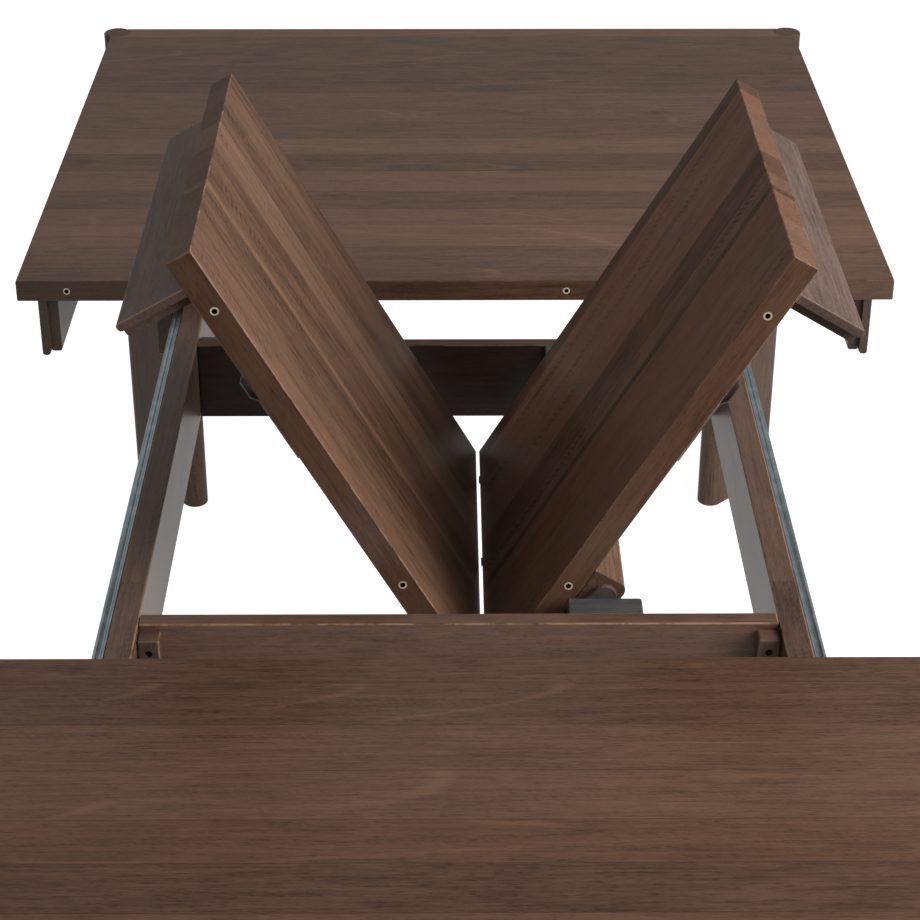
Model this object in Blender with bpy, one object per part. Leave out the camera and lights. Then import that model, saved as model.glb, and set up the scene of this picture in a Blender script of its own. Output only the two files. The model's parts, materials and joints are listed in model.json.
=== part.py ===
# Extending dining table with a folding butterfly leaf.
# World frame: origin on the floor under the middle of the table, +Z up, the table
# pulls apart along Y. The far half is on +Y, the near half on -Y. All sizes in metres.
#
# The two table halves ride on steel slides along a middle frame. The leaf lies in two
# hinged panels; the right one turns on two pins held by the frame, and the panels are
# built lying flat here and then raised into a V by the axes they hang from.

import math

import bmesh
import bpy
from mathutils import Matrix, Vector

# --- overall ---
TABLE_HEIGHT = 0.752
TABLE_WIDTH = 1.000
HALF_LENGTH = 0.878
OPENING = 0.752  # between the two mating edges as the table stands
TOP_THICKNESS = 0.025
EDGE_EASE = 0.0015  # small rounding on board edges
PART_GAP = 0.0003  # between pieces that touch
RUNNING_GAP = 0.0001  # around a turning pin

# --- corner legs: a flat slab with round ends, set diagonally ---
LEG_RADIUS = 0.0195
LEG_STEP = 0.0803  # from the outer round centre to the inner one, along X and along Y
LEG_INSET_SIDE = 0.0085  # outer round centre in from the side edge
LEG_INSET_END = 0.0148  # outer round centre in from the end edge
LEG_ARC_STEPS = 14

# --- aprons: an outer board on a backing board that stops short of its ends ---
APRON_INSET = 0.0235
APRON_THICKNESS = 0.0213
APRON_LIP = 0.009
APRON_FOOT_ROUND = 0.003
APRON_HEIGHT = 0.0685
APRON_REBATE = 0.001
APRON_ROUND_STEPS = 4
APRON_SETBACK = 0.001
BACKING_SETBACK = 0.009
SKIRT_INSET = 0.0035  # a skirt's outer face, in from the apron's
SKIRT_LIP = 0.0078

# --- middle frame ---
FRAME_DROP = 0.0023  # frame top below the underside of the tops
FRAME_HEIGHT = 0.0887
FRAME_INNER_WIDTH = 0.570
SIDE_RAIL_THICKNESS = 0.0242
SIDE_RAIL_SPACE = 0.1332  # from a rail's end to the end apron with the table shut
CROSS_RAIL_SPACING = 0.534  # between the inner faces of the two cross rails
CROSS_RAIL_THICKNESS = 0.017
CORNER_BLOCK_WIDTH = 0.020
CORNER_BLOCK_DEPTH = 0.018
CORNER_BLOCK_DROP = 0.006
CORNER_BLOCK_HEIGHT = 0.068
CORNER_SCREW_RADIUS = 0.0034
CORNER_SCREW_DEPTH = 0.007
CORNER_SCREW_DROP = 0.0135  # from a corner block's top to its screw

# --- steel slides between the side rails and the runners of each half ---
SLIDE_SPACE = 0.0148  # side rail face to runner face
TRACK_DROP = 0.024  # centre line of the slide below the frame top
TRACK_HALF_HEIGHT = 0.021
TRACK_REACH = 0.0112
SHEET = 0.0015
MEMBER_HALF_HEIGHT = 0.0150
MEMBER_REACH = 0.0105
MEMBER_START = 0.006
MEMBER_END_SPACE = 0.004  # from a slide's end to the end of its track
RUNNER_THICKNESS = 0.020
RUNNER_HEIGHT = 0.070
RUNNER_SETBACK = 0.004
RUNNER_LEG_SPACE = 0.012

# --- butterfly leaf ---
LEAF_NEAR_EDGE = -0.2335
LEAF_LENGTH = 0.4295
SEAM_GAP = 0.003
SEAM_RISE = 0.0007  # the seam's turning axis stands above the table surface
RAISE_RIGHT = math.radians(59.1)
RAISE_LEFT = math.radians(60.4)

# --- leaf pivot ---
PIVOT_X = 0.120
PIVOT_DROP = 0.0402  # pivot axis below the table surface
PIN_RADIUS = 0.006
PIN_DEPTH = 0.015
PLATE_RADIUS = 0.0115  # round-ended wear plate on each end of the bearer
PLATE_REACH_X = 0.0156  # from the pivot axis to the plate's other round end
PLATE_REACH_DOWN = 0.0046
PLATE_ROOT = 0.002
PLATE_CLEARANCE = 0.0015  # from a plate to the pivot block
BLOCK_DEPTH = 0.025
BLOCK_INNER_SIDE = 0.022  # from the pivot axis to the block's side nearer the seam
BLOCK_OUTER_SIDE = 0.0455
BLOCK_HEIGHT = 0.060
BEARER_INNER_SIDE = 0.026
BEARER_OUTER_SIDE = 0.033
BEARER_DEPTH = 0.035
BEARER_ROUND = 0.008
BEARER_END_GAP = 0.0082  # from the front of the pivot block to the bearer

# --- seam hinge ---
HINGE_END_SPACE = 0.012
HINGE_TOP_DROP = 0.002
HINGE_HEIGHT = 0.016
HINGE_THICKNESS = 0.0016
HINGE_SET_IN = 0.0004
KNUCKLE_HEIGHT = 0.005
KNUCKLE_LENGTH = 0.007
KNUCKLE_REACH = 0.0010  # past the middle of the seam
KNUCKLE_CENTRES = (-0.193, -0.028, 0.137)

# --- keeper clips under the leaf ---
KEEPER_SKIRT_SPACE = 0.0132  # from the clip's end to the folded skirt
KEEPER_LENGTH = 0.0885
KEEPER_TAB = 0.0165
KEEPER_CRANK = 0.006
KEEPER_STANDOFF = 0.0047
KEEPER_SHEET = 0.0012
KEEPER_WIDTH = 0.0205
KEEPER_SETBACK = 0.0015

# --- locating pins and the brass sleeves they enter ---
LOCATOR_INNER_X = 0.1265
LOCATOR_SIDE_SPACE = 0.0575  # from the outer pins to the side edge
SLEEVE_OUTER = 0.0040
SLEEVE_INNER = 0.0025
SLEEVE_LENGTH = 0.012
LOCATOR_RADIUS = 0.0022
LOCATOR_BURIED = 0.018
LOCATOR_PROUD = 0.010
LOCATOR_NOSE = 0.0012
LOCATOR_HOLE_DEPTH = 0.020

TURNED_STEPS = 24
PIN_STEPS = 32
PLATE_STEPS = 12

# --- values that follow from the sizes above ---
HALF_WIDTH = TABLE_WIDTH / 2
UNDERSIDE = TABLE_HEIGHT - TOP_THICKNESS
FRAME_TOP = UNDERSIDE - FRAME_DROP
RAIL_INNER_X = FRAME_INNER_WIDTH / 2
RAIL_OUTER_X = RAIL_INNER_X + SIDE_RAIL_THICKNESS
RAIL_END_Y = HALF_LENGTH - APRON_INSET - APRON_THICKNESS - SIDE_RAIL_SPACE
CROSS_INNER_Y = CROSS_RAIL_SPACING / 2
PIVOT_Z = TABLE_HEIGHT - PIVOT_DROP
BLOCK_FRONT_Y = CROSS_INNER_Y - BLOCK_DEPTH
BEARER_END_Y = BLOCK_FRONT_Y - BEARER_END_GAP
LEAF_FAR_EDGE = LEAF_NEAR_EDGE + LEAF_LENGTH
LOCATOR_Z = TABLE_HEIGHT - TOP_THICKNESS / 2
APRON_OUTER = HALF_WIDTH - APRON_INSET
APRON_TOP = UNDERSIDE - PART_GAP
LOCATOR_OUTER_X = HALF_WIDTH - LOCATOR_SIDE_SPACE
LOCATOR_XS = (-LOCATOR_OUTER_X, -LOCATOR_INNER_X, LOCATOR_INNER_X, LOCATOR_OUTER_X)


# --- tools -----------------------------------------------------------------------

def make_material(name, color, roughness, metallic):
    material = bpy.data.materials.new(name)
    material.use_nodes = True
    shader = material.node_tree.nodes["Principled BSDF"]
    shader.inputs["Base Color"].default_value = (*color, 1.0)
    shader.inputs["Roughness"].default_value = roughness
    shader.inputs["Metallic"].default_value = metallic
    return material


class Axis:
    """An empty that carries the pieces of one moving group.

    Pieces are modelled where they lie with the table flat; built_at is the point of
    that layout which the empty stands on."""

    def __init__(self, name, built_at, location=None, turn=(0.0, 0.0, 0.0), parent=None):
        self.built_at = Vector(built_at)
        self.empty = bpy.data.objects.new(name, None)
        bpy.context.collection.objects.link(self.empty)
        self.empty.rotation_euler = turn
        if parent is None:
            self.empty.location = Vector(built_at if location is None else location)
        else:
            self.empty.parent = parent.empty
            self.empty.location = self.built_at - parent.built_at


def add_piece(name, bm, material, axis, round_piece=False):
    """Turns a finished mesh into a named object hanging from its axis."""
    bmesh.ops.recalc_face_normals(bm, faces=bm.faces)
    bmesh.ops.translate(bm, vec=-axis.built_at, verts=bm.verts)
    mesh = bpy.data.meshes.new(name)
    bm.to_mesh(mesh)
    bm.free()
    if material is not None:
        mesh.materials.append(material)
    if round_piece:
        mesh.shade_smooth()
        mesh.set_sharp_from_angle(angle=math.radians(40))
    piece = bpy.data.objects.new(name, mesh)
    bpy.context.collection.objects.link(piece)
    piece.parent = axis.empty
    return piece


def combine(piece, tools, axis, operation):
    """Joins every mesh in tools to the piece, or cuts them out of it."""
    joined = bmesh.new()
    for tool in tools:
        bmesh.ops.recalc_face_normals(tool, faces=tool.faces)
        mesh = bpy.data.meshes.new("tool")
        tool.to_mesh(mesh)
        tool.free()
        joined.from_mesh(mesh)
        bpy.data.meshes.remove(mesh)
    word = operation.lower()
    solid = add_piece(f"{piece.name}_{word}_tool", joined, None, axis)
    solid.hide_render = True
    solid.display_type = "WIRE"
    step = piece.modifiers.new(word, "BOOLEAN")
    step.operation = operation
    step.solver = "EXACT"
    step.object = solid


def cut_from(piece, cutters, axis):
    combine(piece, cutters, axis, "DIFFERENCE")


def box(x_span, y_span, z_span, ease=0.0, steps=2):
    """A board between the given limits, its edges eased when asked."""
    bm = bmesh.new()
    size = [max(span) - min(span) for span in (x_span, y_span, z_span)]
    middle = [(span[0] + span[1]) / 2 for span in (x_span, y_span, z_span)]
    shape = Matrix.Translation(middle) @ Matrix.Diagonal((*size, 1.0))
    bmesh.ops.create_cube(bm, size=1.0, matrix=shape)
    if ease > 0.0:
        bmesh.ops.bevel(
            bm, geom=bm.edges[:], offset=ease, segments=steps, profile=0.5,
            affect="EDGES", material=-1,
        )
    return bm


def prism(outline, along, start, end):
    """Runs a closed outline along one axis. Outlines are (x, z) along Y, (y, z) along
    X and (x, y) along Z."""
    bm = bmesh.new()

    def corner(pair, far):
        if along == "X":
            return (far, pair[0], pair[1])
        if along == "Y":
            return (pair[0], far, pair[1])
        return (pair[0], pair[1], far)

    first = [bm.verts.new(corner(pair, start)) for pair in outline]
    face = bm.faces.new(first)
    moved = bmesh.ops.extrude_face_region(bm, geom=[face])
    verts = [item for item in moved["geom"] if isinstance(item, bmesh.types.BMVert)]
    step = Vector(corner((0.0, 0.0), end - start))
    bmesh.ops.translate(bm, vec=step, verts=verts)
    return bm


def turned(profile, x, z, steps, ring=False):
    """A piece turned about an axis parallel to Y. The profile is (radius, y); a ring
    closes on itself, any other profile starts and ends on the axis."""
    bm = bmesh.new()
    verts = [bm.verts.new((x + radius, y, z)) for radius, y in profile]
    pairs = list(zip(verts, verts[1:]))
    if ring:
        pairs.append((verts[-1], verts[0]))
    edges = [bm.edges.new(pair) for pair in pairs]
    bmesh.ops.spin(
        bm, geom=verts + edges, cent=(x, 0.0, z), axis=(0.0, 1.0, 0.0),
        angle=2 * math.pi, steps=steps, use_merge=True,
    )
    bmesh.ops.remove_doubles(bm, verts=bm.verts[:], dist=1e-6)
    return bm


def slice_off(bm, point, outward):
    """Removes what lies beyond a plane and closes the cut."""
    geometry = bm.verts[:] + bm.edges[:] + bm.faces[:]
    bmesh.ops.bisect_plane(
        bm, geom=geometry, plane_co=point, plane_no=outward, clear_outer=True,
    )
    open_edges = [edge for edge in bm.edges if len(edge.link_faces) == 1]
    bmesh.ops.holes_fill(bm, edges=open_edges, sides=0)


def capsule(inner, outer, radius, steps):
    """Outline of a slab with round ends about two centres."""
    heading = math.atan2(outer[1] - inner[1], outer[0] - inner[0])
    points = []
    for centre, base in ((outer, heading - math.pi / 2), (inner, heading + math.pi / 2)):
        for index in range(steps + 1):
            angle = base + math.pi * index / steps
            points.append(
                (centre[0] + radius * math.cos(angle), centre[1] + radius * math.sin(angle))
            )
    return points


def locator_hole(x, y, inward, radius):
    """Blind hole in a board edge at y, running along inward."""
    back = y - inward * 0.004
    deep = y + inward * LOCATOR_HOLE_DEPTH
    return turned(
        [(0.0, back), (radius, back), (radius, deep), (0.0, deep)],
        x, LOCATOR_Z, TURNED_STEPS,
    )


def sleeve(x, y, inward):
    """Brass sleeve, flush in a board edge."""
    end = y + inward * SLEEVE_LENGTH
    return turned(
        [(SLEEVE_INNER, y), (SLEEVE_OUTER, y), (SLEEVE_OUTER, end), (SLEEVE_INNER, end)],
        x, LOCATOR_Z, TURNED_STEPS, ring=True,
    )


def locator_pin(x, y, inward):
    """Steel locating pin, standing proud of a board edge."""
    tip = y - inward * LOCATOR_PROUD
    nose = tip + inward * LOCATOR_NOSE
    root = y + inward * LOCATOR_BURIED
    return turned(
        [(0.0, tip), (LOCATOR_RADIUS - LOCATOR_NOSE, tip), (LOCATOR_RADIUS, nose),
         (LOCATOR_RADIUS, root), (0.0, root)],
        x, LOCATOR_Z, TURNED_STEPS,
    )


def round_foot(start, end, bottom, radius):
    """Outline round the foot of a board, from its face at start to its face at end."""
    sense = 1.0 if end > start else -1.0
    points = []
    for index in range(APRON_ROUND_STEPS + 1):
        angle = math.pi / 2 * index / APRON_ROUND_STEPS
        across = start + sense * radius * (1 - math.cos(angle))
        points.append((across, bottom + radius * (1 - math.sin(angle))))
    for index in range(APRON_ROUND_STEPS + 1):
        angle = math.pi / 2 * index / APRON_ROUND_STEPS
        across = end - sense * radius * (1 - math.sin(angle))
        points.append((across, bottom + radius * (1 - math.cos(angle))))
    return points


def apron_outline(side, inset=0.0, lip_thickness=APRON_LIP):
    """Section of an apron: the outer board and the backing board glued to it. side is
    +1 where the outer face looks along the positive axis."""
    outer = APRON_OUTER - inset
    inner = APRON_OUTER - APRON_THICKNESS
    lip = outer - lip_thickness
    bottom = APRON_TOP - APRON_HEIGHT
    points = [(inner, APRON_TOP), (outer, APRON_TOP)]
    points += round_foot(outer, lip, bottom, APRON_FOOT_ROUND)
    points += round_foot(lip, inner, bottom + APRON_REBATE, APRON_FOOT_ROUND)
    return [(side * across, up) for across, up in points]


def backing_cut(side, lip, start, end):
    """Cutter that shortens the backing board from start to end along Y."""
    inner = APRON_OUTER - APRON_THICKNESS - APRON_LIP
    bottom = APRON_TOP - APRON_HEIGHT - APRON_LIP
    return box(
        (side * (lip - PART_GAP), side * inner), (start, end),
        (bottom, APRON_TOP + APRON_LIP),
    )


# --- start clean ---
for old in list(bpy.data.objects):
    bpy.data.objects.remove(old, do_unlink=True)

TOP_WOOD = make_material("top_wood", (0.105, 0.062, 0.042), 0.38, 0.0)
LEG_WOOD = make_material("leg_wood", (0.085, 0.058, 0.043), 0.42, 0.0)
APRON_WOOD = make_material("apron_wood", (0.060, 0.042, 0.034), 0.36, 0.0)
FRAME_WOOD = make_material("frame_wood", (0.075, 0.040, 0.028), 0.36, 0.0)
LEAF_WOOD = make_material("leaf_wood", (0.125, 0.068, 0.045), 0.38, 0.0)
SLIDE_STEEL = make_material("slide_steel", (0.330, 0.400, 0.440), 0.36, 1.0)
DARK_STEEL = make_material("dark_steel", (0.055, 0.050, 0.048), 0.45, 1.0)
BRASS = make_material("brass", (0.720, 0.580, 0.340), 0.30, 1.0)


# --- table halves ------------------------------------------------------------------
# Each half is laid out with its mating edge at y = 0 and its end at y = HALF_LENGTH.

def leg_centres(side):
    outer = (side * (HALF_WIDTH - LEG_INSET_SIDE), HALF_LENGTH - LEG_INSET_END)
    inner = (outer[0] - side * LEG_STEP, outer[1] - LEG_STEP)
    return inner, outer


def leg_face(side, toward_side):
    """A point on one flat face of a leg slab, and the way that face looks."""
    _, outer = leg_centres(side)
    sense = 1.0 if toward_side else -1.0
    look = Vector((side * sense, -sense, 0.0)).normalized()
    point = Vector((outer[0], outer[1], 0.0)) + look * (LEG_RADIUS + PART_GAP)
    return point, look


def leg_heading(side):
    inner, outer = leg_centres(side)
    return math.atan2(outer[1] - inner[1], outer[0] - inner[0])


def post_arc(side, radius, turn, steps):
    """Points round the outer centre of a leg, from the slab's right flat onwards."""
    _, outer = leg_centres(side)
    start = leg_heading(side) - math.pi / 2
    angles = [start + turn * index / steps for index in range(steps + 1)]
    return [
        (outer[0] + radius * math.cos(angle), outer[1] + radius * math.sin(angle))
        for angle in angles
    ]


def build_leg(name, side, axis):
    """The slab ends under the top; only its outer round goes on through the corner."""
    inner, outer = leg_centres(side)
    bm = prism(capsule(inner, outer, LEG_RADIUS, LEG_ARC_STEPS), "Z", 0.0, TABLE_HEIGHT)
    rims = [
        edge for edge in bm.edges
        if all(vert.co.z < EDGE_EASE for vert in edge.verts)
        or all(vert.co.z > TABLE_HEIGHT - EDGE_EASE for vert in edge.verts)
    ]
    bmesh.ops.bevel(
        bm, geom=rims, offset=EDGE_EASE, segments=1, profile=0.5, affect="EDGES",
        material=-1,
    )
    leg = add_piece(name, bm, LEG_WOOD, axis, round_piece=True)
    around = post_arc(side, LEG_RADIUS, -math.pi, LEG_ARC_STEPS)
    beside = post_arc(side, 2 * LEG_RADIUS, -math.pi, 1)
    back = Vector(inner) - Vector(outer)
    back = back.normalized() * (back.length + 2 * LEG_RADIUS)
    beyond = [tuple(Vector(point) + back) for point in beside]
    waste = around + [beside[1], beyond[1], beyond[0], beside[0]]
    cut_from(leg, [prism(waste, "Z", APRON_TOP, TABLE_HEIGHT + LEG_RADIUS)], axis)


def build_top(name, hole_radius, axis):
    bm = box(
        (-HALF_WIDTH, HALF_WIDTH), (0.0, HALF_LENGTH), (UNDERSIDE, TABLE_HEIGHT),
        ease=EDGE_EASE,
    )
    top = add_piece(name, bm, TOP_WOOD, axis)
    cutters = [locator_hole(x, 0.0, 1.0, hole_radius) for x in LOCATOR_XS]
    for side in (-1, 1):
        notch = post_arc(side, LEG_RADIUS + PART_GAP, 2 * math.pi, 2 * LEG_ARC_STEPS)
        low = UNDERSIDE - LEG_RADIUS
        cutters.append(prism(notch[:-1], "Z", low, TABLE_HEIGHT + LEG_RADIUS))
    cut_from(top, cutters, axis)


def build_aprons(half, names, axis):
    for side in (-1, 1):
        bm = prism(apron_outline(side), "Y", APRON_SETBACK, HALF_LENGTH)
        point, look = leg_face(side, True)
        slice_off(bm, point, -look)
        apron = add_piece(f"{half}_{names[side]}_apron", bm, APRON_WOOD, axis)
        short = APRON_SETBACK + BACKING_SETBACK
        cut_from(apron, [backing_cut(side, APRON_OUTER - APRON_LIP, -short, short)], axis)
    end_outline = [
        (across + HALF_LENGTH - HALF_WIDTH, up) for across, up in apron_outline(1)
    ]
    bm = prism(end_outline, "X", -HALF_WIDTH, HALF_WIDTH)
    for side in (-1, 1):
        point, look = leg_face(side, False)
        slice_off(bm, point, -look)
    add_piece(f"{half}_end_apron", bm, APRON_WOOD, axis)


def build_runner(name, side, axis):
    inner = RAIL_OUTER_X + SLIDE_SPACE
    bm = box(
        (side * inner, side * (inner + RUNNER_THICKNESS)),
        (RUNNER_SETBACK, leg_centres(side)[0][1] - LEG_RADIUS - RUNNER_LEG_SPACE),
        (APRON_TOP - RUNNER_HEIGHT, APRON_TOP), ease=EDGE_EASE, steps=1,
    )
    add_piece(name, bm, FRAME_WOOD, axis)


def build_slide_member(name, side, axis):
    """The channel screwed to the runner; it opens towards the frame."""
    middle = FRAME_TOP - TRACK_DROP
    back = RAIL_OUTER_X + SLIDE_SPACE - PART_GAP
    lip = back - MEMBER_REACH
    high = MEMBER_HALF_HEIGHT
    low = MEMBER_HALF_HEIGHT - SHEET
    points = [
        (back, high), (back, -high), (lip, -high), (lip, -low),
        (back - SHEET, -low), (back - SHEET, low), (lip, low), (lip, high),
    ]
    outline = [(side * across, middle + up) for across, up in points]
    bm = prism(outline, "Y", MEMBER_START, RAIL_END_Y - OPENING / 2 - MEMBER_END_SPACE)
    add_piece(name, bm, SLIDE_STEEL, axis)


def build_half(half, turn, with_sleeves):
    """One table half. turn is the half's heading about Z; names follow the world."""
    mirrored = turn != 0.0
    names = {-1: "right", 1: "left"} if mirrored else {-1: "left", 1: "right"}
    offset = -OPENING / 2 if mirrored else OPENING / 2
    axis = Axis(
        f"{half}_half", (0.0, 0.0, 0.0), location=(0.0, offset, 0.0),
        turn=(0.0, 0.0, turn),
    )
    hole = SLEEVE_OUTER if with_sleeves else LOCATOR_RADIUS
    build_top(f"{half}_top", hole + PART_GAP, axis)
    build_aprons(half, names, axis)
    for side in (-1, 1):
        build_leg(f"{half}_{names[side]}_leg", side, axis)
        build_runner(f"{half}_{names[side]}_runner", side, axis)
        build_slide_member(f"{half}_{names[side]}_slide_member", side, axis)
    for index, x in enumerate(LOCATOR_XS, start=1):
        if with_sleeves:
            bm = sleeve(x, 0.0, 1.0)
            add_piece(f"{half}_sleeve_{index}", bm, BRASS, axis, round_piece=True)
        else:
            bm = locator_pin(x, 0.0, 1.0)
            add_piece(f"{half}_pin_{index}", bm, SLIDE_STEEL, axis, round_piece=True)


# --- middle frame --------------------------------------------------------------------

def build_frame(axis):
    frame_low = FRAME_TOP - FRAME_HEIGHT
    for side, word in ((-1, "left"), (1, "right")):
        bm = box(
            (side * RAIL_INNER_X, side * RAIL_OUTER_X),
            (-RAIL_END_Y, RAIL_END_Y), (frame_low, FRAME_TOP), ease=EDGE_EASE,
        )
        add_piece(f"{word}_side_rail", bm, FRAME_WOOD, axis)
        build_track(f"{word}_slide_track", side, axis)
    cross_end = RAIL_INNER_X - PART_GAP
    block_back = CROSS_INNER_Y + CROSS_RAIL_THICKNESS + PART_GAP
    for end, word in ((-1, "near"), (1, "far")):
        bm = box(
            (-cross_end, cross_end),
            (end * CROSS_INNER_Y, end * (CROSS_INNER_Y + CROSS_RAIL_THICKNESS)),
            (frame_low, FRAME_TOP), ease=EDGE_EASE,
        )
        add_piece(f"{word}_cross_rail", bm, FRAME_WOOD, axis)
        build_pivot(word, end, axis)
        for side, hand in ((-1, "left"), (1, "right")):
            high = FRAME_TOP - CORNER_BLOCK_DROP
            bm = box(
                (side * (cross_end - CORNER_BLOCK_WIDTH), side * cross_end),
                (end * block_back, end * (block_back + CORNER_BLOCK_DEPTH)),
                (high - CORNER_BLOCK_HEIGHT, high), ease=EDGE_EASE, steps=1,
            )
            block = add_piece(f"{word}_{hand}_corner_block", bm, FRAME_WOOD, axis)
            front = end * (block_back + CORNER_BLOCK_DEPTH)
            floor = front - end * CORNER_SCREW_DEPTH
            mouth = front + end * CORNER_SCREW_DEPTH
            middle_x = side * (cross_end - CORNER_BLOCK_WIDTH / 2)
            radius = CORNER_SCREW_RADIUS
            bore = turned(
                [(0.0, floor), (radius, floor), (radius, mouth), (0.0, mouth)],
                middle_x, high - CORNER_SCREW_DROP, TURNED_STEPS,
            )
            cut_from(block, [bore], axis)


def build_track(name, side, axis):
    """The channel screwed to the side rail, rolled over at both lips."""
    middle = FRAME_TOP - TRACK_DROP
    face = RAIL_OUTER_X + PART_GAP
    high = TRACK_HALF_HEIGHT
    outer_run = [
        (0.0, high - 0.0010), (0.0010, high), (0.0026, high - 0.0003),
        (0.0038, high - 0.0026), (0.0052, high - 0.0026), (0.0064, high - 0.0006),
        (0.0082, high), (0.0100, high - 0.0006), (TRACK_REACH, high - 0.0024),
        (TRACK_REACH, high - 0.0048), (TRACK_REACH - SHEET, high - 0.0048),
        (TRACK_REACH - SHEET, high - 0.0030), (0.0082, high - 0.0018),
        (0.0068, high - 0.0022), (0.0058, high - 0.0041), (0.0034, high - 0.0041),
        (SHEET, high - 0.0036),
    ]
    points = outer_run + [(across, -up) for across, up in reversed(outer_run)]
    outline = [(side * (face + across), middle + up) for across, up in points]
    bm = prism(outline, "Y", -RAIL_END_Y, RAIL_END_Y)
    add_piece(name, bm, SLIDE_STEEL, axis)


def build_pivot(word, end, axis):
    """Block inside a cross rail and the pin the leaf turns on."""
    bm = box(
        (PIVOT_X - BLOCK_INNER_SIDE, PIVOT_X + BLOCK_OUTER_SIDE),
        (end * BLOCK_FRONT_Y, end * (CROSS_INNER_Y - PART_GAP)),
        (FRAME_TOP - BLOCK_HEIGHT, FRAME_TOP), ease=EDGE_EASE, steps=1,
    )
    block = add_piece(f"{word}_pivot_block", bm, FRAME_WOOD, axis)
    hole = PIN_RADIUS + PART_GAP
    clear = BLOCK_FRONT_Y - BEARER_END_GAP
    deep = BLOCK_FRONT_Y + PIN_DEPTH + PART_GAP
    bore = turned(
        [(0.0, end * clear), (hole, end * clear), (hole, end * deep), (0.0, end * deep)],
        PIVOT_X, PIVOT_Z, PIN_STEPS,
    )
    cut_from(block, [bore], axis)
    stations = [
        (0.0, BLOCK_FRONT_Y + PIN_DEPTH), (PIN_RADIUS, BLOCK_FRONT_Y + PIN_DEPTH),
        (PIN_RADIUS, BEARER_END_Y - PIN_DEPTH), (0.0, BEARER_END_Y - PIN_DEPTH),
    ]
    profile = [(radius, end * y) for radius, y in stations]
    bm = turned(profile, PIVOT_X, PIVOT_Z, PIN_STEPS)
    add_piece(f"{word}_pivot_pin", bm, DARK_STEEL, axis, round_piece=True)


# --- butterfly leaf ------------------------------------------------------------------

def build_panel(name, side, axis):
    seam = SEAM_GAP / 2
    bm = box(
        (side * seam, side * HALF_WIDTH), (LEAF_NEAR_EDGE, LEAF_FAR_EDGE),
        (UNDERSIDE, TABLE_HEIGHT), ease=EDGE_EASE / 2, steps=1,
    )
    panel = add_piece(name, bm, LEAF_WOOD, axis)
    cutters = []
    for x in LOCATOR_XS:
        if x * side > 0:
            cutters.append(locator_hole(x, LEAF_NEAR_EDGE, 1.0, SLEEVE_OUTER + PART_GAP))
            cutters.append(locator_hole(x, LEAF_FAR_EDGE, -1.0, LOCATOR_RADIUS + PART_GAP))
    recess_depth = seam + HINGE_SET_IN + HINGE_THICKNESS + PART_GAP
    recess_top = TABLE_HEIGHT - HINGE_TOP_DROP + PART_GAP
    ends = HINGE_END_SPACE - PART_GAP
    cutters.append(
        box(
            (-side * seam, side * recess_depth),
            (LEAF_NEAR_EDGE + ends, LEAF_FAR_EDGE - ends),
            (recess_top - HINGE_HEIGHT - 2 * PART_GAP, recess_top),
        )
    )
    cut_from(panel, cutters, axis)


def build_seam_hinge(name, side, axis):
    """Plate let into the seam face of one panel, with three knuckles across the gap.
    The right plate's knuckles lie on the near side of each hinge, the left's beyond."""
    face = SEAM_GAP / 2 + HINGE_SET_IN
    high = TABLE_HEIGHT - HINGE_TOP_DROP
    low = high - HINGE_HEIGHT
    bm = box(
        (side * face, side * (face + HINGE_THICKNESS)),
        (LEAF_NEAR_EDGE + HINGE_END_SPACE, LEAF_FAR_EDGE - HINGE_END_SPACE), (low, high),
    )
    spans = []
    for centre in KNUCKLE_CENTRES:
        start = centre - KNUCKLE_LENGTH if side > 0 else centre + PART_GAP
        spans.append((start, start + KNUCKLE_LENGTH - PART_GAP))
    cuts = [(Vector((0.0, y, 0.0)), Vector((0.0, 1.0, 0.0))) for span in spans for y in span]
    cuts.append((Vector((0.0, 0.0, high - KNUCKLE_HEIGHT)), Vector((0.0, 0.0, 1.0))))
    for point, look in cuts:
        geometry = bm.verts[:] + bm.edges[:] + bm.faces[:]
        bmesh.ops.bisect_plane(bm, geom=geometry, plane_co=point, plane_no=look)
    bmesh.ops.recalc_face_normals(bm, faces=bm.faces)
    reach = face + KNUCKLE_REACH
    for start, end in spans:
        faces = []
        for each in bm.faces:
            middle = each.calc_center_median()
            outward = each.normal.x * side < -0.5
            within = start < middle.y < end and middle.z > high - KNUCKLE_HEIGHT
            if outward and within:
                faces.append(each)
        moved = bmesh.ops.extrude_face_region(bm, geom=faces)
        verts = [item for item in moved["geom"] if isinstance(item, bmesh.types.BMVert)]
        bmesh.ops.translate(bm, vec=(-side * reach, 0.0, 0.0), verts=verts)
        bmesh.ops.delete(bm, geom=faces, context="FACES_ONLY")
    add_piece(name, bm, DARK_STEEL, axis)


def build_keeper(name, side, axis):
    """Cranked steel clip under a panel; its free end stands off the wood."""
    top = UNDERSIDE - PART_GAP
    low = top - KEEPER_STANDOFF
    end = APRON_OUTER - APRON_THICKNESS - APRON_HEIGHT - KEEPER_SKIRT_SPACE
    tab = end - KEEPER_TAB
    bend = tab - KEEPER_CRANK
    start = end - KEEPER_LENGTH
    points = [
        (start, top), (bend, top), (tab, low), (end, low), (end, low - KEEPER_SHEET),
        (tab - KEEPER_SHEET / 2, low - KEEPER_SHEET),
        (bend - KEEPER_SHEET / 2, top - KEEPER_SHEET), (start, top - KEEPER_SHEET),
    ]
    near = LEAF_NEAR_EDGE + KEEPER_SETBACK
    outline = [(side * across, up) for across, up in points]
    bm = prism(outline, "Y", near, near + KEEPER_WIDTH)
    add_piece(name, bm, DARK_STEEL, axis)


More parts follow.
